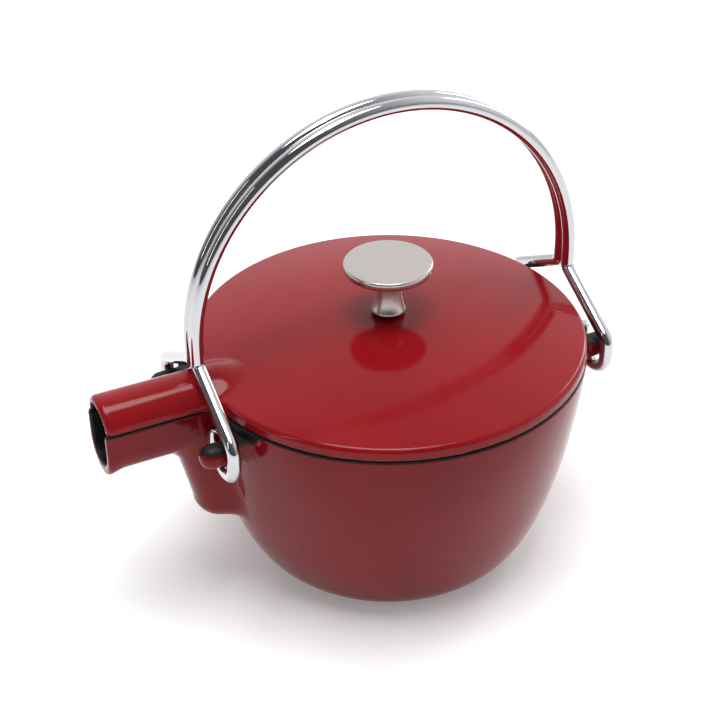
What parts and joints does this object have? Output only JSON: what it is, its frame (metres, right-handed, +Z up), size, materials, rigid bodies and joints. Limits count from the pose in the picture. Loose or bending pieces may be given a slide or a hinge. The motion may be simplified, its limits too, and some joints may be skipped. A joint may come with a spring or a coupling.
{
  "type": "cast iron teapot",
  "caption": "Round enamelled iron teapot with a spout split between pot and lid, metal lid knob and paired folding wire handles.",
  "frame": {"origin": "centre of the flat base, on the pot's axis", "axes": "+Z up along the pot's axis, -X along the spout; y = 0 is the mirror plane"},
  "size_m": [0.218, 0.1656, 0.2062],
  "materials": {
    "pot_enamel": "gloss cherry enamel outside, matte black enamel on the rim, peg tops and inside",
    "lid_enamel": "gloss cherry enamel above, matte black enamel below",
    "knob_metal": "satin nickel top, polished edge and stem",
    "screw_steel": "plain stainless",
    "bail_chrome": "bright chrome plate on round rod"
  },
  "bodies": {
    "pot": {"pot_body": "pot_enamel"},
    "lid": {"lid": "lid_enamel", "lid_knob": "knob_metal", "knob_screw": "screw_steel"},
    "front_bail": {"front_bail": "bail_chrome"},
    "rear_bail": {"rear_bail": "bail_chrome"}
  },
  "joints": [
    {"name": "lid_lift", "type": "slide", "parent": "pot", "child": "lid", "axis": [0, 0, 1], "range_m": [0, 0.0012]},
    {"name": "front_bail_fold", "type": "hinge", "parent": "pot", "child": "front_bail", "pos_m": [0, -0.0278, 0.0854], "axis": [1, 0, 0], "range_deg": [0, 142]},
    {"name": "rear_bail_fold", "type": "hinge", "parent": "pot", "child": "rear_bail", "pos_m": [0, 0.0278, 0.0854], "axis": [-1, 0, 0], "range_deg": [0, 142]}
  ]
}
